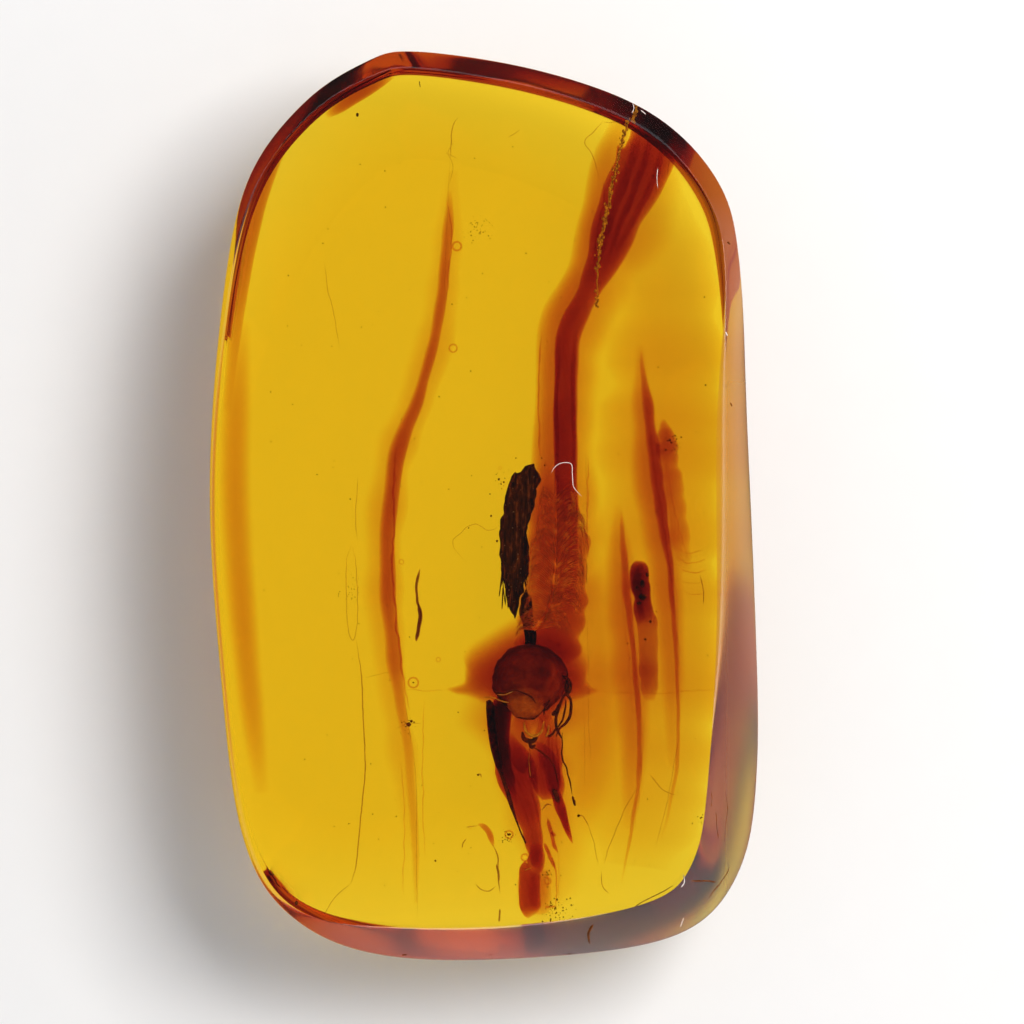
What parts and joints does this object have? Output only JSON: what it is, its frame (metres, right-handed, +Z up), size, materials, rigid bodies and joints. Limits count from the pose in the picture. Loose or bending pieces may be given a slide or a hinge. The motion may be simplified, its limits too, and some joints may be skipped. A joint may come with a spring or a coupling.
{
  "type": "insect in amber",
  "caption": "Polished oblong piece of clear honey-coloured amber with an insect, a feather and bits of bark and leaf sealed inside, lying on its flat back.",
  "frame": {"origin": "centre of the bounding box at the flat back that the piece lies on", "axes": "+Y along the length, +X across the width, +Z up through the thickness, out of the flat face that shows the insect"},
  "size_m": [0.0242, 0.04, 0.01],
  "materials": {
    "amber": "polished",
    "chitin": "satin",
    "down": "matte",
    "bark": "matte",
    "leaf": "matte"
  },
  "bodies": {
    "root": {"amber_lower": "amber", "amber_upper": "amber", "insect": "chitin", "feather": "down", "bark_flake": "bark", "leaf_chip": "leaf"}
  },
  "joints": []
}
